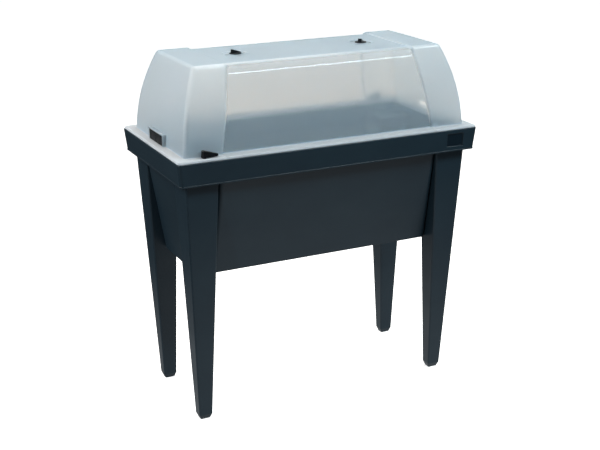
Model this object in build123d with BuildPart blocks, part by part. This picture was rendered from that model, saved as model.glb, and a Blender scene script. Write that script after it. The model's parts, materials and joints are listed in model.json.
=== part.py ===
"""Raised grow tray on four legs with a clear humidity dome.

The frame: +X along the length, +Y towards the rear, +Z up.
The origin is on the floor at the centre of the footprint. All sizes are in millimetres.
"""
import os

from build123d import *

os.makedirs("parts", exist_ok=True)

# ---- tub -------------------------------------------------------------------------------
RIM_LENGTH = 770.0
RIM_WIDTH = 384.0
RIM_HEIGHT = 650.0              # height of the rim's top face above the floor
RIM_THICKNESS = 3.5
RIM_CORNER_RADIUS = 9.0
APRON_DEPTH = 54.0
APRON_INSET_X = 6.1             # how far the apron's lower edge stands inside its upper one
APRON_INSET_Y = 3.2
BEAD_PROUD = 0.8                # thin bead along the apron's lower edge
BEAD_HEIGHT = 3.0
RIM_EDGE_RADIUS = 2.5
WALL = 3.0

SHOULDER_Z = RIM_HEIGHT - APRON_DEPTH
FLOOR_Z = 362.0                 # underside of the tub's floor
SHOULDER_HALF = (361.4, 172.0)  # outer half sizes of the tub at the apron's lower edge
FLOOR_HALF = (321.7, 121.6)     # and at the floor
MOUTH_RADIUS = 12.0             # rounded ends of the tub's walls beside the legs

EMBLEM_CENTRE = (323.0, 624.0)  # plain square recess on the front of the apron
EMBLEM_SIZE = (45.0, 32.0)
EMBLEM_DEPTH = 2.2
EMBLEM_BACKING = 3.0
APRON_TILT = 3.4                # degrees

RIB_THICKNESS = 2.4
RIB_DEPTH = 20.0
RIB_END = (381.8, 189.3)        # the ribs end inside the apron's wall
LONG_RIB_PITCH = 95.0
LONG_RIB_COUNT = 5
SHORT_RIB_PITCH = 80.0
SHORT_RIB_COUNT = 2

DRAIN_RADIUS = 13.08
DRAIN_BOSS_RADIUS = 22.0
DRAIN_BOSS_HEIGHT = 6.0

# ---- legs ------------------------------------------------------------------------------
LEG_OUTER_TOP = SHOULDER_HALF   # outer corner of a leg at the apron's lower edge
LEG_OUTER_FOOT = (335.1, 137.8)  # and at the floor
LEG_SIZE_TOP = (78.6, 76.2)
LEG_SIZE_FOOT = (32.7, 28.1)
LEG_EDGE_RADIUS = 4.0
LEG_WALL = 3.0
FOOT_BEVEL_HEIGHT = 12.0
FOOT_BEVEL_INSET = 4.5
SPIGOT_HEIGHT = 24.0
SPIGOT_INSET = 1.2
LEG_GAP = 1.0                   # between a leg and the notch that holds it
COLLAR_WALL = 3.0               # collar in the tub round a leg's spigot
COLLAR_GAP = 0.6

SCREW_Z = 560.0
SCREW_RADIUS = 2.5
SCREW_HEAD_RADIUS = 5.5
SCREW_HEAD_HEIGHT = 2.8
SCREW_LENGTH = 12.0
SCREW_HOLE_RADIUS = 2.8
SCREW_PITCH = 30.0              # between one leg's two screws
SCREW_SEAT = 0.3                # the heads stand clear of the tub's sloping wall
SCREW_BOSS_RADIUS = 6.0
SCREW_BOSS_DEPTH = 9.0

# ---- dome ------------------------------------------------------------------------------
DOME_WALL = 2.2
FLANGE_THICKNESS = 5.0
FLANGE_HALF = (383.2, 190.3)
FLANGE_EDGE_RADIUS = 3.5
FLANGE_OPENING = (355.6, 165.4)
LIP_HALF = (357.7, 168.3)       # locating lip that drops into the tub
LIP_DEPTH = 6.0
DOME_BASE_HALF = (360.6, 167.6)
DOME_MID_HALF = (348.9, 154.3)
DOME_TOP_HALF = (316.4, 119.0)
ROOF_Z = 846.0
DOME_MID_Z = 748.0
DOME_EDGE_RADIUS = 11.0

PANEL_DEPTH = 4.0               # the middle of the dome stands this far inside its end bands
PANEL_HALF_BASE = 268.0         # half length of the middle panel at the flange
PANEL_HALF_TOP = 233.0          # and at the roof
PANEL_STEP_WIDTH = 6.6          # length over which the step between the two slopes
PANEL_STEP_DEPTH = 4.4          # the slope runs on a little under the middle's surface
PANEL_ROOF_Z = 843.5
PANEL_SETBACK = 6.5             # inside the wall, the bands start this much further out
FACET_UPPER_Y = 103.0           # sloped facet between the middle roof and its long walls
FACET_LOWER_Y = 123.5
FACET_LOWER_Z = 826.0
FACET_EDGE_RADIUS = 8.0         # rounding of the facet's long edges

# ---- roof vents ------------------------------------------------------------------------
VENT_X = 165.0
VENT_SEAT_RADIUS = 31.4
VENT_RIM_RADIUS = 34.0
VENT_SEAT_DEPTH = 2.5
VENT_FLOOR = 2.2
SHUTTER_RADIUS = 31.0
SHUTTER_THICKNESS = 2.0
SHUTTER_LIFT = 0.2
SLOT_COUNT = 4
SLOT_RADIUS = 21.5
SLOT_WIDTH = 9.0
SLOT_ANGLE = 18.0
STEM_RADIUS = 3.0
STEM_HOLE_RADIUS = 3.06
KNOB_RADIUS = 14.0
KNOB_BASE_HEIGHT = 2.0
KNOB_EDGE_RADIUS = 0.8
KNOB_GRIP_HEIGHT = 8.5
KNOB_GRIP_SUNK = 0.5            # its foot stands this deep in the knob's base
KNOB_TIP_RADIUS = 1.25
KNOB_TIP_HEIGHT = 1.5
KNOB_STEM_BELOW = 1.0           # the stem ends this far under its washer
KNOB_GRIP_RADIUS = 5.0
KNOB_GRIP_LENGTH = 20.0
KNOB_GRIP_START = -6.5
WASHER_RADIUS = 8.0
WASHER_THICKNESS = 1.6

# ---- end vents: a raised frame on each end wall, with a hinged flap in the left one ----
FLAP_WIDTH = 88.0
FLAP_HEIGHT = 24.0
FLAP_THICKNESS = 3.5
FLAP_FACE_X = 366.6             # outer face of a closed flap
FLAP_GAP = 0.45
FRAME_RAIL = 3.6
FRAME_PROUD = 1.0               # the frame stands this far outside the flap
FLAP_REST_GAP = 0.2
FLAP_SILL = 0.6                 # from the flange up to a closed flap
FLAP_OPENING = (80.0, 16.0)
FLAP_OPENING_Z = 665.9
FRAME_EDGE_RADIUS = 1.2
FLAP_PIN_RADIUS = 0.95
FLAP_PIN_HOLE = 1.0
FLAP_GRIP = (26.0, 3.0, 0.9)    # length, width and depth of its finger groove
FLAP_GRIP_RISE = 4.5

# ---- turn latches ----------------------------------------------------------------------
LATCH_X = 318.0
LATCH_Y = 177.0
LATCH_LENGTH = 33.0             # from the pivot to the lever's tip
LATCH_HEIGHT = 15.0
LEVER_DRAFT = 4.0
LATCH_TIP_HEIGHT = 4.5
LATCH_RADIUS = 7.0
LATCH_TIP_RADIUS = 2.5
LATCH_COLLAR_RADIUS = 5.0
LATCH_LIFT = 2.0                # the collar holds the lever this far above the flange
LATCH_COLLAR_GAP = 0.1
LATCH_STEM_RADIUS = 2.5
LATCH_HOLE_RADIUS = 2.57
HOOK_HUB_RADIUS = 4.3
HOOK_LENGTH = 10.5
HOOK_WIDTH = 5.0
HOOK_THICKNESS = 3.6
HOOK_DROP = 0.5                 # below the rim's underside
HOOK_CLEARANCE = 0.7

# ---- drain plug ------------------------------------------------------------------------
PLUG_RADIUS = 13.0
PLUG_RISE = 2.0                 # above the tub's floor
PLUG_HEAD_RADIUS = 20.5
PLUG_HEAD_THICKNESS = 4.0
PLUG_HEAD_EDGE = 1.2
PLUG_TIP_CHAMFER = 1.5
SEAL_RADIUS = 17.0
SEAL_SECTION = 1.5
GRIP_TAB = (26.0, 5.0, 13.0)
GRIP_TAB_EDGE = 1.5

FLANGE_TOP = RIM_HEIGHT + FLANGE_THICKNESS
RIM_UNDERSIDE = RIM_HEIGHT - RIM_THICKNESS


def finish(piece, name):
    """Names a finished piece and writes it."""
    piece.label = name
    export_step(piece, f"parts/{name}.step")


def at_height(z, low, high, z_low, z_high):
    """The pair between low and high at height z."""
    share = (z - z_low) / (z_high - z_low)
    return tuple(a + (b - a) * share for a, b in zip(low, high))


def leg_section(z):
    """Centre and size of a leg's square section at height z, for the leg at +X +Y."""
    outer = at_height(z, LEG_OUTER_FOOT, LEG_OUTER_TOP, 0, SHOULDER_Z)
    size = at_height(z, LEG_SIZE_FOOT, LEG_SIZE_TOP, 0, SHOULDER_Z)
    return tuple(o - s / 2 for o, s in zip(outer, size)), size


def block(low, high):
    """A block from one corner to the opposite one."""
    with BuildPart() as piece:
        with Locations(tuple((l + h) / 2 for l, h in zip(low, high))):
            Box(*[h - l for l, h in zip(low, high)])
    return piece.part


def spread(piece, mode=Mode.ADD):
    """Adds or cuts a piece made at +X +Y in all four corners."""
    left = piece.mirror(Plane.YZ)
    for one in (piece, left, piece.mirror(Plane.XZ), left.mirror(Plane.XZ)):
        add(one, mode=mode)


def cylinder(radius, low_z, high_z):
    """An upright cylinder on the object's upright axis."""
    with BuildPart() as piece:
        with BuildSketch(Plane.XY.offset(low_z)):
            Circle(radius)
        extrude(amount=high_z - low_z)
    return piece.part


def point_pair(piece):
    """A piece and its copy turned half a turn about the object's upright axis."""
    return piece, piece.rotate(Axis.Z, 180)


def screw_planes():
    """The inner tub faces under the heads of one leg's two screws, pointing at the leg."""
    planes = []
    for axis, z in ((1, SCREW_Z), (0, SCREW_Z - SCREW_PITCH)):
        centre, size = leg_section(z)
        origin = [*centre, z]
        origin[axis] = centre[axis] - size[axis] / 2 - LEG_GAP - WALL
        planes.append(Plane(origin=tuple(origin), z_dir=(1 - axis, axis, 0)))
    return planes


def screws(shank_radius, head_radius, head_height, length):
    """One leg's two screws. With no head it is the space of their holes."""
    with BuildPart() as pair:
        for plane in screw_planes():
            with BuildSketch(plane.offset(-SCREW_SEAT if head_radius else -1)):
                Circle(shank_radius)
            extrude(amount=length + 1)
            if head_radius:
                with BuildSketch(plane.offset(-SCREW_SEAT)):
                    Circle(head_radius)
                extrude(amount=-head_height, taper=20)
    return pair.part


def hook_form(grow, z_low, z_high):
    """A latch hook's outline: a hub with one arm, at the front left corner."""
    with BuildPart() as hook:
        with BuildSketch(Plane((-LATCH_X, -LATCH_Y, z_low))):
            Circle(HOOK_HUB_RADIUS + grow)
            with Locations(((HOOK_LENGTH + grow) / 2, 0)):
                Rectangle(HOOK_LENGTH + grow, HOOK_WIDTH + 2 * grow)
        extrude(amount=z_high - z_low)
    return hook.part


# ======================================================================================
# Tub: tapered box with notched corners, a flat rim and a drafted apron.
# ======================================================================================
SOCKET_TOP = SHOULDER_Z + SPIGOT_HEIGHT


def notch_corner(z, inset):
    """Inner corner of the notch for a leg at height z, for the leg at +X +Y."""
    centre, size = leg_section(min(z, SHOULDER_Z))
    return [c - s / 2 - LEG_GAP - inset for c, s in zip(centre, size)]


def tub_section(z, inset):
    """The tub's outline at height z: a rectangle with a notch for a leg in each corner."""
    low = min(z, SHOULDER_Z)
    half = [h - inset for h in at_height(low, FLOOR_HALF, SHOULDER_HALF, FLOOR_Z, SHOULDER_Z)]
    notch = notch_corner(z, inset)
    with BuildSketch(Plane.XY.offset(z)) as section:
        Rectangle(2 * half[0], 2 * notch[1])
        Rectangle(2 * notch[0], 2 * half[1])
        mouths = [
            v for v in section.vertices()
            if abs(abs(v.X) - half[0]) < 0.01 or abs(abs(v.Y) - half[1]) < 0.01
        ]
        fillet(mouths, radius=MOUTH_RADIUS - inset)
    return section.sketch


def tub_form(inset, low_z, socket_z):
    """The tub's box, every wall moved in by inset, with its corner notches up to socket_z."""
    half = [2 * (h - inset) for h in SHOULDER_HALF]
    with BuildPart() as form:
        add(tub_section(low_z, inset))
        add(tub_section(SHOULDER_Z, inset))
        loft()
        add(tub_section(SHOULDER_Z, inset))
        extrude(amount=socket_z - SHOULDER_Z)
        with BuildSketch(Plane.XY.offset(socket_z)):
            Rectangle(*half)
        extrude(amount=RIM_HEIGHT - socket_z)
    return form.part


def apron_form(inset, top_z):
    """The outside of the rim and its apron, moved in by inset."""
    lower = (RIM_LENGTH / 2 - APRON_INSET_X - inset, RIM_WIDTH / 2 - APRON_INSET_Y - inset)
    upper = (RIM_LENGTH / 2 - inset, RIM_WIDTH / 2 - inset)
    with BuildPart() as form:
        for z, half in ((SHOULDER_Z, lower), (top_z, upper)):
            with BuildSketch(Plane.XY.offset(z)):
                RectangleRounded(2 * half[0], 2 * half[1], RIM_CORNER_RADIUS - inset)
        loft()
        if inset == 0:
            fillet(form.edges().group_by(Axis.Z)[-1], radius=RIM_EDGE_RADIUS)
    return form.part


def rim_ribs():
    """Stiffening ribs under the rim, between the tub's wall and the apron."""
    low_z = RIM_UNDERSIDE - RIB_DEPTH
    half = RIB_THICKNESS / 2
    with BuildPart() as ribs:
        for k in range(LONG_RIB_COUNT):
            x = (k - (LONG_RIB_COUNT - 1) / 2) * LONG_RIB_PITCH
            start = SHOULDER_HALF[1] - WALL / 2
            add(block((x - half, start, low_z), (x + half, RIB_END[1], RIM_UNDERSIDE)))
        for k in range(SHORT_RIB_COUNT):
            y = (k - (SHORT_RIB_COUNT - 1) / 2) * SHORT_RIB_PITCH
            start = SHOULDER_HALF[0] - WALL / 2
            add(block((start, y - half, low_z), (RIB_END[0], y + half, RIM_UNDERSIDE)))
    return ribs.part


def emblem_block(near, far, margin):
    """A block across the front of the apron where its plain recess is, tilted with the apron."""
    tilt = Location((EMBLEM_CENTRE[0], -RIM_WIDTH / 2, EMBLEM_CENTRE[1]), (APRON_TILT, 0, 0))
    apron_face = APRON_INSET_Y * (RIM_HEIGHT - EMBLEM_CENTRE[1]) / APRON_DEPTH
    with BuildPart() as block:
        with Locations(tilt):
            with Locations((0, apron_face + (near + far) / 2, 0)):
                Box(EMBLEM_SIZE[0] + margin, far - near, EMBLEM_SIZE[1] + margin)
    return block.part


with BuildPart() as tub:
    # rim and apron, hollow underneath, with a bead along the lower edge
    add(apron_form(0, RIM_HEIGHT))
    with BuildSketch(Plane.XY.offset(SHOULDER_Z)):
        bead = [
            2 * (RIM_LENGTH / 2 - APRON_INSET_X + BEAD_PROUD),
            2 * (RIM_WIDTH / 2 - APRON_INSET_Y + BEAD_PROUD),
        ]
        RectangleRounded(*bead, RIM_CORNER_RADIUS)
    extrude(amount=BEAD_HEIGHT)
    add(apron_form(WALL, RIM_UNDERSIDE), mode=Mode.SUBTRACT)
    add(emblem_block(EMBLEM_DEPTH, WALL + EMBLEM_BACKING, 6))
    add(emblem_block(-5, EMBLEM_DEPTH, 0), mode=Mode.SUBTRACT)

    # the box itself, collars round the legs' spigots and ribs under the rim
    add(tub_form(0, FLOOR_Z, SOCKET_TOP))
    collar_low = notch_corner(SHOULDER_Z, 0)
    collar_high = [h + COLLAR_GAP + COLLAR_WALL for h in LEG_OUTER_TOP]
    socket_high = [h + COLLAR_GAP for h in LEG_OUTER_TOP]
    spread(block((*collar_low, SHOULDER_Z), (*collar_high, SOCKET_TOP + WALL)))
    spread(block((*collar_low, SHOULDER_Z - 1), (*socket_high, SOCKET_TOP)), Mode.SUBTRACT)
    ribs = rim_ribs()
    for one in (ribs, ribs.mirror(Plane.YZ), ribs.mirror(Plane.XZ)):
        add(one)

    # the inside
    add(tub_form(WALL, FLOOR_Z + WALL, SOCKET_TOP + WALL), mode=Mode.SUBTRACT)

    # screw holes, keyholes for the turn latches and the drain
    spread(screws(SCREW_HOLE_RADIUS, 0, 0, LEG_GAP + WALL), Mode.SUBTRACT)
    for hook_space in point_pair(hook_form(HOOK_CLEARANCE, RIM_UNDERSIDE - 1, RIM_HEIGHT + 1)):
        add(hook_space, mode=Mode.SUBTRACT)
    with BuildSketch(Plane.XY.offset(FLOOR_Z - DRAIN_BOSS_HEIGHT)):
        Circle(DRAIN_BOSS_RADIUS)
    extrude(amount=DRAIN_BOSS_HEIGHT)
    with BuildSketch(Plane.XY.offset(FLOOR_Z - DRAIN_BOSS_HEIGHT - 1)):
        Circle(DRAIN_RADIUS)
    extrude(amount=DRAIN_BOSS_HEIGHT + WALL + 2, mode=Mode.SUBTRACT)
finish(tub.part, "tub")


# ======================================================================================
# Legs: hollow tapered box sections, closed at a bevelled foot, with a spigot on top.
# ======================================================================================
def leg_outline(z, inset):
    """A leg's rounded section at height z, every side moved in by inset."""
    centre, size = leg_section(z)
    with BuildSketch(Plane.XY.offset(z)) as outline:
        with Locations(centre):
            RectangleRounded(*[s - 2 * inset for s in size], max(LEG_EDGE_RADIUS - inset, 0.8))
    return outline.sketch


def spigot(inset, low_z):
    """The straight top of a leg that goes up into its collar."""
    centre, size = leg_section(SHOULDER_Z)
    with BuildPart() as piece:
        with BuildSketch(Plane.XY.offset(low_z)):
            with Locations(centre):
                RectangleRounded(*[s - 2 * inset for s in size], LEG_EDGE_RADIUS / 2)
        extrude(amount=SOCKET_TOP - low_z)
    return piece.part


with BuildPart() as leg:
    foot_centre, foot_size = leg_section(0)
    with BuildSketch():
        with Locations(foot_centre):
            RectangleRounded(*[s - 2 * FOOT_BEVEL_INSET for s in foot_size], LEG_EDGE_RADIUS / 2)
    add(leg_outline(FOOT_BEVEL_HEIGHT, 0))
    loft(ruled=True)
    add(leg_outline(FOOT_BEVEL_HEIGHT, 0))
    add(leg_outline(SHOULDER_Z, 0))
    loft(ruled=True)
    add(spigot(SPIGOT_INSET, SHOULDER_Z))
    add(leg_outline(FOOT_BEVEL_HEIGHT + LEG_WALL, LEG_WALL))
    add(leg_outline(SHOULDER_Z, LEG_WALL))
    loft(ruled=True, mode=Mode.SUBTRACT)
    add(spigot(SPIGOT_INSET + LEG_WALL, SHOULDER_Z - 1), mode=Mode.SUBTRACT)
    for face in screw_planes():
        with BuildSketch(face.offset(WALL + LEG_GAP + 1)):
            Circle(SCREW_BOSS_RADIUS)
        extrude(amount=SCREW_BOSS_DEPTH)
    add(screws(SCREW_RADIUS, 0, 0, SCREW_LENGTH + 1), mode=Mode.SUBTRACT)

leg_left = leg.part.mirror(Plane.YZ)
finish(Part(leg.part.mirror(Plane.XZ).wrapped), "leg_front_right")
finish(Part(leg_left.mirror(Plane.XZ).wrapped), "leg_front_left")
finish(Part(leg_left.wrapped), "leg_rear_left")
finish(leg.part, "leg_rear_right")

with BuildPart() as leg_screws:
    spread(screws(SCREW_RADIUS, SCREW_HEAD_RADIUS, SCREW_HEAD_HEIGHT, SCREW_LENGTH))
finish(leg_screws.part, "leg_screws")


# ======================================================================================
# Dome: two end bands round a shallow recessed middle, a flat flange and a locating lip.
# ======================================================================================
SKIRT_Z = RIM_HEIGHT - LIP_DEPTH


def arched_outline(plane, base, mid, top):
    """An upright outline with bowed sides. The plane's local Y is the object's Z."""
    with BuildSketch(plane) as outline:
        with BuildLine():
            Line((top, ROOF_Z), (-top, ROOF_Z))
            ThreePointArc((-top, ROOF_Z), (-mid, DOME_MID_Z), (-base, RIM_HEIGHT))
            Line((-base, RIM_HEIGHT), (base, RIM_HEIGHT))
            ThreePointArc((base, RIM_HEIGHT), (mid, DOME_MID_Z), (top, ROOF_Z))
        make_face()
    return outline.sketch


def dome_form(inset):
    """The dome's bowed block with rounded edges, every side moved in by inset."""
    base, mid, top = (
        [h - inset for h in half] for half in (DOME_BASE_HALF, DOME_MID_HALF, DOME_TOP_HALF)
    )
    with BuildPart() as form:
        side_view = arched_outline(Plane.XZ.offset(-RIM_WIDTH), base[0], mid[0], top[0])
        extrude(side_view, amount=2 * RIM_WIDTH, dir=(0, -1, 0))
        end_view = arched_outline(Plane.YZ.offset(-RIM_LENGTH), base[1], mid[1], top[1])
        extrude(end_view, amount=2 * RIM_LENGTH, dir=(1, 0, 0), mode=Mode.INTERSECT)
        if inset:
            roof = (-RIM_LENGTH, -RIM_WIDTH, ROOF_Z - inset), (RIM_LENGTH, RIM_WIDTH, ROOF_Z + 1)
            add(block(*roof), mode=Mode.SUBTRACT)
        upper = [e for e in form.edges() if e.center().Z > RIM_HEIGHT + 1]
        fillet(upper, radius=DOME_EDGE_RADIUS - inset)
    return form.part


def middle_prism(inset):
    """The cross-section of the dome's recessed middle, run along its whole length."""
    base, mid, top = (
        half[1] - PANEL_DEPTH - inset for half in (DOME_BASE_HALF, DOME_MID_HALF, DOME_TOP_HALF)
    )
    slope = Vector(FACET_LOWER_Y - FACET_UPPER_Y, FACET_LOWER_Z - PANEL_ROOF_Z).normalized()
    out = Vector(-slope.Y, slope.X)
    upper = Vector(FACET_UPPER_Y, PANEL_ROOF_Z) - out * inset
    above, below = upper - slope * 40, upper + slope * 70
    facet = [above, below, below + out * 60, above + out * 60]
    with BuildPart() as prism:
        with BuildSketch(Plane.YZ.offset(-RIM_LENGTH)) as section:
            add(arched_outline(Plane.XY, base, mid, top))
            for side in (1, -1):
                with BuildLine():
                    Polyline(*[(side * p.X, p.Y) for p in facet], close=True)
                make_face(mode=Mode.SUBTRACT)
            with Locations((0, PANEL_ROOF_Z - inset + 20)):
                Rectangle(RIM_WIDTH, 40, mode=Mode.SUBTRACT)
            facet_corners = section.vertices().group_by(Axis.Y)[1:]
            fillet([corner for row in facet_corners for corner in row], radius=FACET_EDGE_RADIUS - inset)
        extrude(amount=2 * RIM_LENGTH)
    return prism.part


def end_band(inset, setback, step):
    """The dome's end at +X, with a sloping edge towards the middle if step is true."""
    low_z, high_z = RIM_HEIGHT, ROOF_Z + 1
    near = [half + setback for half in (PANEL_HALF_BASE, PANEL_HALF_TOP)]
    with BuildPart() as band:
        add(dome_form(inset))
        with BuildSketch(Plane.XZ.offset(-RIM_WIDTH)):
            with BuildLine():
                far = RIM_LENGTH
                Polyline((near[0], low_z), (far, low_z), (far, high_z), (near[1], high_z), close=True)
            make_face()
        extrude(amount=2 * RIM_WIDTH, mode=Mode.INTERSECT)
        if step:
            cut = band.faces().sort_by(Axis.X)[0]
            rim = [e for e in cut.edges() if e.center().Z > RIM_HEIGHT + 1]
            chamfer(rim, length=PANEL_STEP_DEPTH, length2=PANEL_STEP_WIDTH, reference=cut)
    return band.part


def dome_solid(inset, setback, step):
    """The dome filled in, every side moved in by inset."""
    with BuildPart() as solid:
        add(dome_form(inset))
        add(middle_prism(inset), mode=Mode.INTERSECT)
        band = end_band(inset, setback, step)
        add(band)
        add(band.mirror(Plane.YZ))
    return solid.part


def rounded_plate(half, radius, low_z, high_z):
    """A flat plate with rounded corners, centred on the object's upright axis."""
    with BuildPart() as plate:
        with BuildSketch(Plane.XY.offset(low_z)):
            RectangleRounded(2 * half[0], 2 * half[1], radius)
        extrude(amount=high_z - low_z)
    return plate.part


def vent_slots(low_z, high_z):
    """The ring of kidney-shaped slots of a roof vent, centred on the upright axis."""
    with BuildPart() as slots:
        with BuildSketch(Plane.XY.offset(low_z)):
            with PolarLocations(0, SLOT_COUNT):
                arc = CenterArc((0, 0), SLOT_RADIUS, -SLOT_ANGLE / 2, SLOT_ANGLE)
                SlotArc(arc, SLOT_WIDTH)
        extrude(amount=high_z - low_z)
    return slots.part


def at_vents(piece):
    """A roof vent's piece at both vents."""
    return [Location((x, 0, 0)) * piece for x in (-VENT_X, VENT_X)]


SEAT_Z = PANEL_ROOF_Z - VENT_SEAT_DEPTH
FLAP_BACK_X = FLAP_FACE_X - FLAP_THICKNESS
FLAP_LOW_Z = FLANGE_TOP + FLAP_SILL
FLAP_HINGE_Z = FLAP_LOW_Z + FLAP_HEIGHT - FLAP_THICKNESS / 2
FLAP_HINGE_X = FLAP_FACE_X - FLAP_THICKNESS / 2
POCKET_HALF = FLAP_WIDTH / 2 + FLAP_GAP
POCKET_TOP = FLAP_LOW_Z + FLAP_HEIGHT + FLAP_GAP


def end_frame():
    """The raised frame for the hinged flap on the end wall at +X, with its pin holes."""
    outer_x = FLAP_FACE_X + FRAME_PROUD
    inner_x = DOME_BASE_HALF[0] - DOME_WALL
    rail = POCKET_HALF + FRAME_RAIL
    with BuildPart() as frame:
        add(block((inner_x, -rail, FLANGE_TOP), (outer_x, rail, POCKET_TOP + FRAME_RAIL)))
        outer_edges = frame.faces().sort_by(Axis.X)[-1].edges()
        fillet([e for e in outer_edges if e.center().Z > FLANGE_TOP + 1], radius=FRAME_EDGE_RADIUS)
        pocket_floor = FLAP_BACK_X - FLAP_REST_GAP
        pocket = (pocket_floor, -POCKET_HALF, FLANGE_TOP), (outer_x + 1, POCKET_HALF, POCKET_TOP)
        add(block(*pocket), mode=Mode.SUBTRACT)
        pin_hole = Plane((FLAP_HINGE_X, -rail + FRAME_RAIL / 2, FLAP_HINGE_Z), z_dir=(0, 1, 0))
        with BuildSketch(pin_hole):
            Circle(FLAP_PIN_HOLE)
        extrude(amount=2 * rail - FRAME_RAIL, mode=Mode.SUBTRACT)
    return frame.part


with BuildPart() as dome:
    add(dome_solid(0, 0, True))
    frame_piece = end_frame()
    for one in point_pair(frame_piece):
        add(one)
    add(rounded_plate(FLANGE_HALF, RIM_CORNER_RADIUS, RIM_HEIGHT, FLANGE_TOP))
    flange_edge = [
        e for e in dome.edges()
        if abs(e.center().Z - FLANGE_TOP) < 0.01
        and (abs(e.center().X) > FLANGE_HALF[0] - 5 or abs(e.center().Y) > FLANGE_HALF[1] - 5)
    ]
    fillet(flange_edge, radius=FLANGE_EDGE_RADIUS)
    add(dome_solid(DOME_WALL, PANEL_SETBACK, False), mode=Mode.SUBTRACT)

    # flange's inner edge and the locating lip under it
    add(rounded_plate(LIP_HALF, 3, SKIRT_Z, RIM_HEIGHT + 2))
    add(rounded_plate(FLANGE_OPENING, 2, SKIRT_Z - 1, RIM_HEIGHT + 3), mode=Mode.SUBTRACT)

    # roof vent seats
    for disc in at_vents(cylinder(VENT_RIM_RADIUS, SEAT_Z - VENT_FLOOR, PANEL_ROOF_Z - DOME_WALL / 2)):
        add(disc)
    for space in at_vents(cylinder(VENT_SEAT_RADIUS, SEAT_Z, ROOF_Z)):
        add(space, mode=Mode.SUBTRACT)
    for space in at_vents(vent_slots(SEAT_Z - 9, SEAT_Z + 1)):
        add(space, mode=Mode.SUBTRACT)
    for space in at_vents(cylinder(STEM_HOLE_RADIUS, SEAT_Z - 9, SEAT_Z + 1)):
        add(space, mode=Mode.SUBTRACT)

    # end vent openings and latch stem holes
    half_width, half_height = FLAP_OPENING[0] / 2, FLAP_OPENING[1] / 2
    window = block(
        (DOME_MID_HALF[0], -half_width, FLAP_OPENING_Z - half_height),
        (FLAP_FACE_X, half_width, FLAP_OPENING_Z + half_height),
    )
    for one in point_pair(window):
        add(one, mode=Mode.SUBTRACT)
    stem_hole = cylinder(LATCH_HOLE_RADIUS, RIM_HEIGHT - 1, FLANGE_TOP + 1)
    for one in point_pair(Location((-LATCH_X, -LATCH_Y, 0)) * stem_hole):
        add(one, mode=Mode.SUBTRACT)
finish(dome.part, "dome")


# ======================================================================================
# Roof vents: a slotted shutter that turns in its seat, its knob and a push-on washer.
# ======================================================================================
def lever_form(radius, tip_radius, length, tip_height, height):
    """A finger lever: round and tall at its pivot, tapering and sloping to a low tip."""
    with BuildPart() as lever:
        with BuildSketch():
            Circle(radius)
            with Locations((length - tip_radius, 0)):
                Circle(tip_radius)
            make_hull()
        extrude(amount=height, taper=LEVER_DRAFT)
        with BuildSketch(Plane.XZ.offset(-RIM_WIDTH / 2)):
            with BuildLine():
                far = length + 1
                Polyline((0, height), (far, tip_height), (far, height + 1), (0, height + 1), close=True)
            make_face()
        extrude(amount=RIM_WIDTH, mode=Mode.SUBTRACT)
    return lever.part


with BuildPart() as shutter:
    with BuildSketch(Plane.XY.offset(SEAT_Z + SHUTTER_LIFT)):
        Circle(SHUTTER_RADIUS)
        Circle(STEM_RADIUS, mode=Mode.SUBTRACT)
    extrude(amount=SHUTTER_THICKNESS)
    add(vent_slots(SEAT_Z, ROOF_Z), mode=Mode.SUBTRACT)

SHUTTER_TOP = SEAT_Z + SHUTTER_LIFT + SHUTTER_THICKNESS
WASHER_TOP = SEAT_Z - VENT_FLOOR - SHUTTER_LIFT

with BuildPart() as knob:
    with BuildSketch(Plane.XY.offset(SHUTTER_TOP)):
        Circle(KNOB_RADIUS)
    extrude(amount=KNOB_BASE_HEIGHT)
    fillet(knob.edges().group_by(Axis.Z)[-1], radius=KNOB_EDGE_RADIUS)
    grip = lever_form(
        KNOB_GRIP_RADIUS, KNOB_TIP_RADIUS, KNOB_GRIP_LENGTH, KNOB_TIP_HEIGHT, KNOB_GRIP_HEIGHT
    )
    add(Location((KNOB_GRIP_START, 0, SHUTTER_TOP + KNOB_BASE_HEIGHT - KNOB_GRIP_SUNK)) * grip)
    add(cylinder(STEM_RADIUS, WASHER_TOP - WASHER_THICKNESS - KNOB_STEM_BELOW, SHUTTER_TOP))

with BuildPart() as washer:
    with BuildSketch(Plane.XY.offset(WASHER_TOP - WASHER_THICKNESS)):
        Circle(WASHER_RADIUS)
        Circle(STEM_RADIUS, mode=Mode.SUBTRACT)
    extrude(amount=WASHER_THICKNESS)

# the left vent stands open, the right one closed
for side, x, turn in (("left", -VENT_X, 0), ("right", VENT_X, 180 / SLOT_COUNT)):
    place = Location((x, 0, 0), (0, 0, turn))
    finish(place * shutter.part, f"vent_shutter_{side}")
    finish(place * knob.part, f"vent_knob_{side}")
    finish(place * washer.part, f"vent_washer_{side}")


# ======================================================================================
# End vent: a flap that hangs from a pin in the left frame.
# ======================================================================================
with BuildPart() as flap:
    hinge_line = Plane((FLAP_HINGE_X, -FLAP_WIDTH / 2, FLAP_HINGE_Z), x_dir=(1, 0, 0), z_dir=(0, 1, 0))
    plate = (FLAP_BACK_X, -FLAP_WIDTH / 2, FLAP_LOW_Z), (FLAP_FACE_X, FLAP_WIDTH / 2, FLAP_HINGE_Z)
    add(block(*plate))
    with BuildSketch(hinge_line):
        Circle(FLAP_THICKNESS / 2)
    extrude(amount=FLAP_WIDTH)
    groove = Plane((FLAP_FACE_X, 0, FLAP_LOW_Z + FLAP_GRIP_RISE), z_dir=(1, 0, 0))
    with BuildSketch(groove):
        SlotOverall(FLAP_GRIP[0], FLAP_GRIP[1])
    extrude(amount=-FLAP_GRIP[2], mode=Mode.SUBTRACT)
    with BuildSketch(hinge_line.offset(-1)):
        Circle(FLAP_PIN_HOLE)
    extrude(amount=FLAP_WIDTH + 2, mode=Mode.SUBTRACT)

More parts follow.
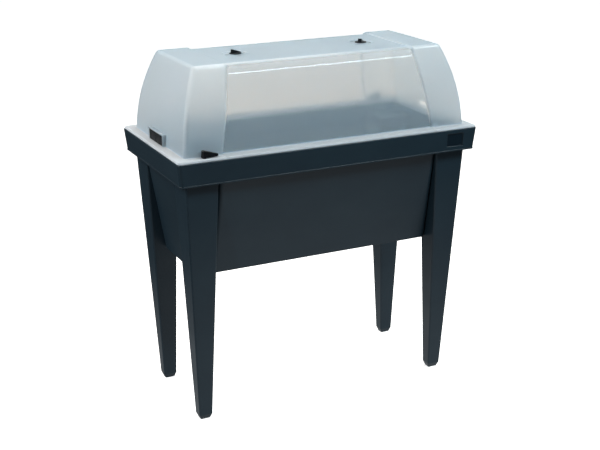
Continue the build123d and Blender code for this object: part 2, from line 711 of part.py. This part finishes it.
with BuildPart() as pin:
    pin_end = POCKET_HALF + FRAME_RAIL / 2
    with BuildSketch(Plane((FLAP_HINGE_X, -pin_end, FLAP_HINGE_Z), z_dir=(0, 1, 0))):
        Circle(FLAP_PIN_RADIUS)
    extrude(amount=2 * pin_end)

# both are made at +X and turned round to the left end, where the flap is
for name, piece in (("end_flap", flap.part), ("flap_pin", pin.part)):
    finish(piece.rotate(Axis.Z, 180), name)


# ======================================================================================
# Turn latches: a lever above the flange and a hook under the rim, on one stem.
# ======================================================================================
HOOK_TOP = RIM_UNDERSIDE - HOOK_DROP
HOOK_BOTTOM = HOOK_TOP - HOOK_THICKNESS
LEVER_Z = FLANGE_TOP + LATCH_LIFT

with BuildPart() as latch_lever:
    add(Location((-LATCH_X, -LATCH_Y, LEVER_Z)) * lever_form(
        LATCH_RADIUS, LATCH_TIP_RADIUS, LATCH_LENGTH, LATCH_TIP_HEIGHT, LATCH_HEIGHT
    ))
    collar = cylinder(LATCH_COLLAR_RADIUS, FLANGE_TOP + LATCH_COLLAR_GAP, LEVER_Z)
    add(Location((-LATCH_X, -LATCH_Y, 0)) * collar)
    add(Location((-LATCH_X, -LATCH_Y, 0)) * cylinder(LATCH_STEM_RADIUS, HOOK_BOTTOM, LEVER_Z))

with BuildPart() as latch_hook:
    add(hook_form(0, HOOK_BOTTOM, HOOK_TOP))
    stem_space = cylinder(LATCH_STEM_RADIUS, HOOK_BOTTOM - 1, HOOK_TOP + 1)
    add(Location((-LATCH_X, -LATCH_Y, 0)) * stem_space, mode=Mode.SUBTRACT)

for name, piece in (("latch_lever", latch_lever.part), ("latch_hook", latch_hook.part)):
    front, rear = point_pair(piece)
    finish(front, f"{name}_front")
    finish(rear, f"{name}_rear")


# ======================================================================================
# Drain: a press-in plug with a seal ring under the tub's floor.
# ======================================================================================
BOSS_Z = FLOOR_Z - DRAIN_BOSS_HEIGHT
PLUG_HEAD_Z = BOSS_Z - 2 * SEAL_SECTION

with BuildPart() as drain_plug:
    add(cylinder(PLUG_HEAD_RADIUS, PLUG_HEAD_Z - PLUG_HEAD_THICKNESS, PLUG_HEAD_Z))
    fillet(drain_plug.edges().group_by(Axis.Z)[0], radius=PLUG_HEAD_EDGE)
    add(cylinder(PLUG_RADIUS, PLUG_HEAD_Z, FLOOR_Z + WALL + PLUG_RISE))
    chamfer(drain_plug.edges().group_by(Axis.Z)[-1], length=PLUG_TIP_CHAMFER)
    tab_low = PLUG_HEAD_Z - PLUG_HEAD_THICKNESS - GRIP_TAB[2]
    half_tab = [t / 2 for t in GRIP_TAB[:2]]
    add(block((-half_tab[0], -half_tab[1], tab_low), (*half_tab, PLUG_HEAD_Z - 1)))
    fillet(drain_plug.edges().group_by(Axis.Z)[0], radius=GRIP_TAB_EDGE)
finish(drain_plug.part, "drain_plug")

with BuildPart() as drain_seal:
    with BuildSketch(Plane.XZ):
        with Locations((SEAL_RADIUS, BOSS_Z - SEAL_SECTION)):
            Circle(SEAL_SECTION)
    revolve(axis=Axis.Z)
finish(drain_seal.part, "drain_seal")
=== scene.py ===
"""Raised grow tray with a clear humidity dome: materials, stage, light and camera."""
import json
import math

import bpy
from mathutils import Matrix, Vector

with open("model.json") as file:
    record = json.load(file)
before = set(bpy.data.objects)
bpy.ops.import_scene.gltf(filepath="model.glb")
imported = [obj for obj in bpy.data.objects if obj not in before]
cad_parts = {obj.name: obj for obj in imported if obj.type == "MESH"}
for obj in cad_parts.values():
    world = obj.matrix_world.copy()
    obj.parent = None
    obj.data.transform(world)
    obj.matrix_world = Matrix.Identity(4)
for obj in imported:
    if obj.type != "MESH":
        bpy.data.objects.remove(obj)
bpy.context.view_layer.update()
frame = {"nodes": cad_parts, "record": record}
nodes = frame["nodes"]

# ---- places on the object, in metres ---------------------------------------------------
FLANGE_TOP = 0.655              # top face of the dome's flange
FLANGE_FADE = 0.004             # height over which the flange's whiter plastic ends
ROOF_FADE = (0.838, 0.842)      # heights over which the frosted roof begins
PANEL_LEAN = 0.185              # each end of the middle panel moves in this much per metre of height
FROST_SPAN = (0.389, 0.397)     # distance from the middle plus that lean, where the frost begins
RECESS_LOW = (0.302, -0.20, 0.6095)     # box round the floor of the apron's plain recess, where the colour is darkened as painted shade
RECESS_HIGH = (0.344, -0.18, 0.6385)

# ---- the dome's plastic ----------------------------------------------------------------
CLEAR_BLUR = (0.14, 0.18)       # roughness of its clear walls, which varies a little
FROST_BLUR = 0.30               # roughness added where it is frosted
MILK_SHARE = (0.26, 0.31)       # share of the light it scatters, where clear and where frosted
FLANGE_MILK = 0.6               # share added on the flange
LET_THROUGH = 0.5               # part of the scattered light that goes on through the wall

# ---- camera ----------------------------------------------------------------------------
CAMERA_PLACE = (-1.1861, -2.4362, 1.3211)
CAMERA_FORWARD = (0.4142, 0.8513, -0.3221)
CAMERA_ROLL = -0.256            # degrees
CAMERA_LENS = 68.82             # mm
CAMERA_SENSOR = 36.0            # mm
CAMERA_CLIP = (0.01, 100)       # nearest and farthest metres it shows

# ---- studio ----------------------------------------------------------------------------
FLOOR_HALF = 12.0               # half the floor's width
POOL_CENTRE = (0.15, -0.3)      # middle of the lit part of the floor
POOL_FADE = (0.3, 1.4)          # distances over which it fades
POOL_LIGHT = (0.62, 0.03)       # and its brightness at them
REAR_SPAN = (-0.2, 0.75)        # how far a ray points to the rear, where the studio brightens
REAR_LIGHT = (0.08, 1.0)        # and its brightness at them
MIRRORED_SHARE = 0.15           # how much of the studio's light shows in reflections

# ---- nodes -----------------------------------------------------------------------------
NOISE_SPAN = (0.3, 0.7)         # most of a noise texture's values lie between these
EDGE_HIGHLIGHT_SPAN = (0.8, 0.98)         # likeness of rounded and true normal, from painted edge highlight to flat
BEVEL_SAMPLES = 6
MIX_COLOUR_INPUTS = (6, 7)      # the mix node's two colour inputs share their names with others
MIX_COLOUR_OUTPUT = 2


def make_camera():
    """The scene's camera, looking along CAMERA_FORWARD."""
    data = bpy.data.cameras.new("camera")
    data.lens = CAMERA_LENS
    data.sensor_width = CAMERA_SENSOR
    data.clip_start, data.clip_end = CAMERA_CLIP
    camera = bpy.data.objects.new("camera", data)
    bpy.context.scene.collection.objects.link(camera)
    forward = Vector(CAMERA_FORWARD).normalized()
    right = forward.cross(Vector((0, 0, 1))).normalized()
    up = right.cross(forward)
    roll = math.radians(CAMERA_ROLL)
    side = right * math.cos(roll) + up * math.sin(roll)
    top = up * math.cos(roll) - right * math.sin(roll)
    turn = Matrix((side, top, -forward)).transposed().to_4x4()
    camera.matrix_world = Matrix.Translation(CAMERA_PLACE) @ turn
    bpy.context.scene.camera = camera


# ---- node helpers ----------------------------------------------------------------------
class Nodes:
    """Builds the nodes of one material or world."""

    def __init__(self, owner, output, place):
        """place is the texture coordinate that the tree works in."""
        owner.use_nodes = True
        self.tree = owner.node_tree
        self.tree.nodes.clear()
        self.output = self.add(output)
        self.place = self.add("ShaderNodeTexCoord").outputs[place]
        self.axes = self.add("ShaderNodeSeparateXYZ", Vector=self.place).outputs

    def put(self, value, socket):
        """Sets a socket to a value, or links it to another socket."""
        if isinstance(value, bpy.types.NodeSocket):
            self.tree.links.new(value, socket)
        else:
            socket.default_value = value

    def add(self, kind, *inputs, **named):
        """A node with its named properties and inputs and its first inputs filled."""
        node = self.tree.nodes.new(kind)
        for key, value in named.items():
            name = key.replace("_", " ")
            if name in node.inputs:
                self.put(value, node.inputs[name])
            else:
                setattr(node, key, value)
        for socket, value in zip(node.inputs, inputs):
            self.put(value, socket)
        return node

    def show(self, shader):
        """Makes a shader what the tree puts out."""
        self.put(shader, self.output.inputs["Surface"])

    def maths(self, kind, a, b=0.0):
        """A math node on one or two values, each a socket or a number."""
        return self.add("ShaderNodeMath", a, b, operation=kind).outputs[0]

    def span(self, value, low, high, to_low, to_high, interpolation="LINEAR"):
        """Maps a value from one span to another, clamped."""
        node = self.add("ShaderNodeMapRange", value, low, high, to_low, to_high,
                        interpolation_type=interpolation)
        return node.outputs["Result"]

    def blend(self, share, a, b):
        """A mix of two shaders. share is a socket or a number."""
        return self.add("ShaderNodeMixShader", share, a, b).outputs["Shader"]

    def looked_at(self):
        """1 for rays from the camera and rays that came through the clear plastic, 0 for others."""
        path = self.add("ShaderNodeLightPath").outputs
        return self.maths("MAXIMUM", path["Is Camera Ray"], path["Is Transmission Ray"])


class Surface(Nodes):
    """A material with one principled shader, worked in object space."""

    def __init__(self, name):
        self.material = bpy.data.materials.new(name)
        super().__init__(self.material, "ShaderNodeOutputMaterial", "Object")
        self.shader = self.add("ShaderNodeBsdfPrincipled")
        self.show(self.shader.outputs["BSDF"])

    def set(self, **values):
        """Fills the shader's own inputs."""
        for key, value in values.items():
            self.put(value, self.shader.inputs[key.replace("_", " ")])

    def noise(self, scale, detail=2.0, roughness=0.5, stretch=(1, 1, 1)):
        """A noise texture. scale is in waves per metre."""
        spread = self.add("ShaderNodeMapping", Vector=self.place, Scale=stretch)
        node = self.add("ShaderNodeTexNoise", Vector=spread.outputs["Vector"], Scale=scale,
                        Detail=detail, Roughness=roughness)
        return node.outputs["Fac"]

    def tint(self, noise, first, second):
        """A colour that runs from the first to the second with a noise."""
        node = self.add("ShaderNodeValToRGB", noise)
        for element, place, colour in zip(node.color_ramp.elements, NOISE_SPAN, (first, second)):
            element.position = place
            element.color = (*colour, 1)
        return node.outputs["Color"]

    def vary(self, noise, first, second):
        """A number that runs from the first to the second with a noise."""
        return self.span(noise, *NOISE_SPAN, first, second)

    def mix(self, share, base, colour):
        """A base colour with a share of a plain colour over it."""
        node = self.add("ShaderNodeMix", share, data_type="RGBA")
        below, above = (node.inputs[place] for place in MIX_COLOUR_INPUTS)
        self.put(base, below)
        self.put((*colour, 1), above)
        return node.outputs[MIX_COLOUR_OUTPUT]

    def bump(self, height, distance, strength, **under):
        """A bump of distance metres. A Normal given by name is the surface it lies on."""
        node = self.add("ShaderNodeBump", Strength=strength, Distance=distance, Height=height, **under)
        return node.outputs["Normal"]

    def lobe(self, kind, colour, normal):
        """A plain shader with its colour and normal linked."""
        return self.add(kind, Color=colour, Normal=normal).outputs["BSDF"]

    def inside(self, low, high):
        """1 in the box between two corners, 0 outside it."""
        share = 1.0
        for place, least, most in zip(self.axes, low, high):
            above = self.maths("GREATER_THAN", place, least)
            below = self.maths("LESS_THAN", place, most)
            share = self.maths("MULTIPLY", share, self.maths("MULTIPLY", above, below))
        return share

    def round_edges(self, radius):
        """The surface's normal with its sharp edges rounded off."""
        return self.add("ShaderNodeBevel", samples=BEVEL_SAMPLES, Radius=radius).outputs["Normal"]

    def edge_highlight_share(self, rounded):
        """1 along edges, where the rounded normal leaves the surface's own, 0 on flats. It places the
        painted edge highlights.
        """
        own = self.add("ShaderNodeNewGeometry").outputs["Normal"]
        likeness = self.add("ShaderNodeVectorMath", rounded, own, operation="DOT_PRODUCT")
        return self.span(likeness.outputs["Value"], *EDGE_HIGHLIGHT_SPAN, 1, 0)


# ---- materials -------------------------------------------------------------------------
def moulded_dark():
    """Anthracite moulded polypropylene with a fine grain, painted highlights along its edges and painted
    shade in the apron's recess.
    """
    dark, light = (0.012, 0.027, 0.040), (0.015, 0.033, 0.047)
    # paler colour of the painted highlights along the edges
    edge_highlight = (0.034, 0.043, 0.052)
    # painted shade: the recess floor's darker colour stands in for the shade that falls there
    recess_shade = (0.003, 0.012, 0.021)
    m = Surface("moulded_anthracite")
    rounded = m.round_edges(radius=0.0014)
    base = m.tint(m.noise(scale=7.0, detail=4.0, roughness=0.6), dark, light)
    # painted highlight: a paler colour along the edges stands in for light caught there
    base = m.mix(m.edge_highlight_share(rounded), base, edge_highlight)
    # painted shade: darker colour in the apron's recess
    base = m.mix(m.inside(RECESS_LOW, RECESS_HIGH), base, recess_shade)
    flow = m.noise(scale=3.0, detail=3.0, roughness=0.55, stretch=(1, 1, 4))
    waves = m.bump(m.noise(scale=9.0), distance=0.0012, strength=0.5, Normal=rounded)
    grain = m.bump(m.noise(scale=1500.0, roughness=0.6), distance=0.00004, strength=0.55, Normal=waves)
    m.set(Base_Color=base, Roughness=m.vary(flow, 0.32, 0.42), Normal=grain)
    m.set(IOR=1.5, Specular_IOR_Level=0.36)
    return m.material


def milky_clear():
    """Milky clear plastic, which scatters bluish light and passes warmer light.

    It is rougher and milkier on the dome's ends and roof, and whitest on its flange."""
    warm, warmer = (0.99, 0.88, 0.78), (0.96, 0.85, 0.74)
    bluish, bluer = (0.57, 0.78, 0.95), (0.53, 0.74, 0.91)
    flange = (0.82, 0.88, 0.93)
    m = Surface("milky_clear")
    leaned = m.maths("ADD", m.maths("ABSOLUTE", m.axes["X"]), m.maths("MULTIPLY", m.axes["Z"], PANEL_LEAN))
    ends = m.span(leaned, *FROST_SPAN, 0, 1)
    roof = m.span(m.axes["Z"], *ROOF_FADE, 0, 1)
    frost = m.maths("MAXIMUM", ends, roof)
    rim = m.span(m.axes["Z"], FLANGE_TOP, FLANGE_TOP + FLANGE_FADE, 1, 0)

    cloud = m.noise(scale=6.0, detail=3.0, roughness=0.6)
    blur = m.maths("ADD", m.vary(cloud, *CLEAR_BLUR), m.maths("MULTIPLY", frost, FROST_BLUR))
    rounded = m.round_edges(radius=0.002)
    waves = m.bump(m.noise(scale=7.0), distance=0.0010, strength=0.12, Normal=rounded)
    grain = m.bump(m.noise(scale=700.0, roughness=0.6), distance=0.00003, strength=0.12, Normal=waves)
    m.set(Base_Color=m.tint(cloud, warmer, warm), Roughness=blur, Normal=grain)
    m.set(Transmission_Weight=1.0, IOR=1.3)
    m.set(Coat_Weight=1.0, Coat_Roughness=0.08, Coat_IOR=1.45, Coat_Normal=rounded)

    milk = m.mix(rim, m.tint(m.noise(scale=5.0, detail=3.0), bluer, bluish), flange)
    thrown_back = m.lobe("ShaderNodeBsdfDiffuse", milk, grain)
    let_through = m.lobe("ShaderNodeBsdfTranslucent", milk, grain)
    scatter = m.blend(LET_THROUGH, thrown_back, let_through)
    share = m.maths("ADD", m.span(frost, 0, 1, *MILK_SHARE), m.maths("MULTIPLY", rim, FLANGE_MILK))
    m.show(m.blend(share, m.shader.outputs["BSDF"], scatter))
    return m.material


def black_trim():
    """Fine-grained black plastic of the small fittings, with painted highlights along its edges."""
    dark, light = (0.003, 0.0045, 0.006), (0.006, 0.008, 0.010)
    # paler colour of the painted highlights along the edges
    edge_highlight = (0.030, 0.034, 0.038)
    m = Surface("black_trim")
    rounded = m.round_edges(radius=0.0008)
    base = m.tint(m.noise(scale=60.0, detail=3.0, roughness=0.6), dark, light)
    roughness = m.vary(m.noise(scale=40.0, detail=3.0, roughness=0.6), 0.34, 0.48)
    grain = m.bump(m.noise(scale=2600.0, roughness=0.6), distance=0.00003, strength=0.5, Normal=rounded)
    # painted highlight: a paler colour along the edges stands in for light caught there
    m.set(Base_Color=m.mix(m.edge_highlight_share(rounded), base, edge_highlight), Roughness=roughness, Normal=grain)
    m.set(IOR=1.5, Specular_IOR_Level=0.2)
    return m.material


def plated_steel():
    """Zinc-plated steel of the screws and pins."""
    bluish, yellowish = (0.50, 0.51, 0.52), (0.62, 0.62, 0.60)
    m = Surface("plated_steel")
    base = m.tint(m.noise(scale=300.0, detail=3.0, roughness=0.6), bluish, yellowish)
    roughness = m.vary(m.noise(scale=220.0, detail=3.0, roughness=0.6), 0.25, 0.42)
    grain = m.bump(m.noise(scale=1800.0), distance=0.00002, strength=0.5)
    m.set(Base_Color=base, Roughness=roughness, Normal=grain, Metallic=1.0)
    return m.material


def soft_rubber():
    """Black rubber of the seal ring."""
    dark, light = (0.012, 0.012, 0.012), (0.022, 0.022, 0.022)
    m = Surface("soft_rubber")
    base = m.tint(m.noise(scale=120.0, detail=3.0, roughness=0.6), dark, light)
    grain = m.bump(m.noise(scale=1500.0, roughness=0.6), distance=0.00004, strength=0.5)
    m.set(Base_Color=base, Roughness=m.vary(m.noise(scale=90.0), 0.6, 0.75), Normal=grain)
    return m.material


def pale_floor():
    """White studio floor. What it lights and what is mirrored of it fade away from the object."""
    grey, white = (0.90, 0.90, 0.90), (0.92, 0.92, 0.92)
    m = Surface("pale_floor")
    m.set(Base_Color=m.tint(m.noise(scale=2.0), grey, white), Roughness=0.6)
    m.set(Emission_Color=(1, 1, 1, 1), Emission_Strength=0.75)
    to_centre = (-POOL_CENTRE[0], -POOL_CENTRE[1], 0)
    shift = m.add("ShaderNodeMapping", Vector=m.place, Location=to_centre)
    reach = m.add("ShaderNodeVectorMath", shift.outputs["Vector"], operation="LENGTH")
    fade = m.span(reach.outputs["Value"], *POOL_FADE, *POOL_LIGHT)
    pool = m.add("ShaderNodeEmission", Strength=fade)
    m.show(m.blend(m.looked_at(), pool.outputs["Emission"], m.shader.outputs["BSDF"]))
    return m.material


# ---- stage -----------------------------------------------------------------------------
def make_floor():
    """A plain pale floor."""
    mesh = bpy.data.meshes.new("studio_floor")
    corners = [(x * FLOOR_HALF, y * FLOOR_HALF, 0) for x, y in ((-1, -1), (1, -1), (1, 1), (-1, 1))]
    mesh.from_pydata(corners, [], [(0, 1, 2, 3)])
    floor = bpy.data.objects.new("studio_floor", mesh)
    bpy.context.scene.collection.objects.link(floor)
    floor.data.materials.append(pale_floor())


def soft_light(name, place, target, size, power, colour=(1, 1, 1)):
    """A rectangular soft light aimed at a point."""
    data = bpy.data.lights.new(name, "AREA")
    data.shape = "RECTANGLE"
    data.size, data.size_y = size
    data.energy = power
    data.color = colour
    light = bpy.data.objects.new(name, data)
    bpy.context.scene.collection.objects.link(light)
    light.location = place
    aim = Vector(target) - Vector(place)
    light.rotation_euler = aim.to_track_quat("-Z", "Y").to_euler()
    light.visible_camera = False


def make_world():
    """Plain white when looked at. As a light it is bright in the rear and dim in front."""
    world = bpy.data.worlds.new("studio")
    bpy.context.scene.world = world
    w = Nodes(world, "ShaderNodeOutputWorld", "Generated")
    glossy = w.add("ShaderNodeLightPath").outputs["Is Glossy Ray"]
    rear = w.span(w.axes["Y"], *REAR_SPAN, *REAR_LIGHT, interpolation="SMOOTHSTEP")
    level = w.maths("MULTIPLY", rear, w.span(glossy, 0, 1, 1.0, MIRRORED_SHARE))
    lit = w.add("ShaderNodeBackground", Strength=level)
    seen = w.add("ShaderNodeBackground", Color=(1, 1, 1, 1), Strength=1.0)
    w.show(w.blend(w.looked_at(), lit.outputs["Background"], seen.outputs["Background"]))


make_camera()
make_floor()
make_world()
soft_light("edge_left", place=(-2.6, -1.3, 0.9), target=(0, 0, 0.7), size=(0.25, 1.6), power=13)
soft_light("side_left", place=(-2.2, 0.2, 2.2), target=(0, 0, 0.7), size=(1.4, 1.0), power=36,
           colour=(1.0, 0.98, 0.98))
soft_light("top", place=(0.0, 0.85, 2.8), target=(0, 0, 0.6), size=(2.4, 1.6), power=64,
           colour=(1.0, 0.95, 0.87))
soft_light("front_top", place=(1.25, -1.75, 2.75), target=(0.1, 0, 0.8), size=(1.6, 0.6), power=72,
           colour=(0.86, 0.97, 1.0))

view = bpy.context.scene.view_settings
view.view_transform = "Standard"
view.look = "None"

# ---- finishes --------------------------------------------------------------------------
made = {
    "dark_plastic": moulded_dark(),
    "clear_plastic": milky_clear(),
    "black_plastic": black_trim(),
    "screw_steel": plated_steel(),
    "seal_rubber": soft_rubber(),
}
for part in frame["record"]["subparts"]:
    piece = nodes[part["node"]]
    piece.data.materials.clear()
    piece.data.materials.append(made[part["material_slot"]])
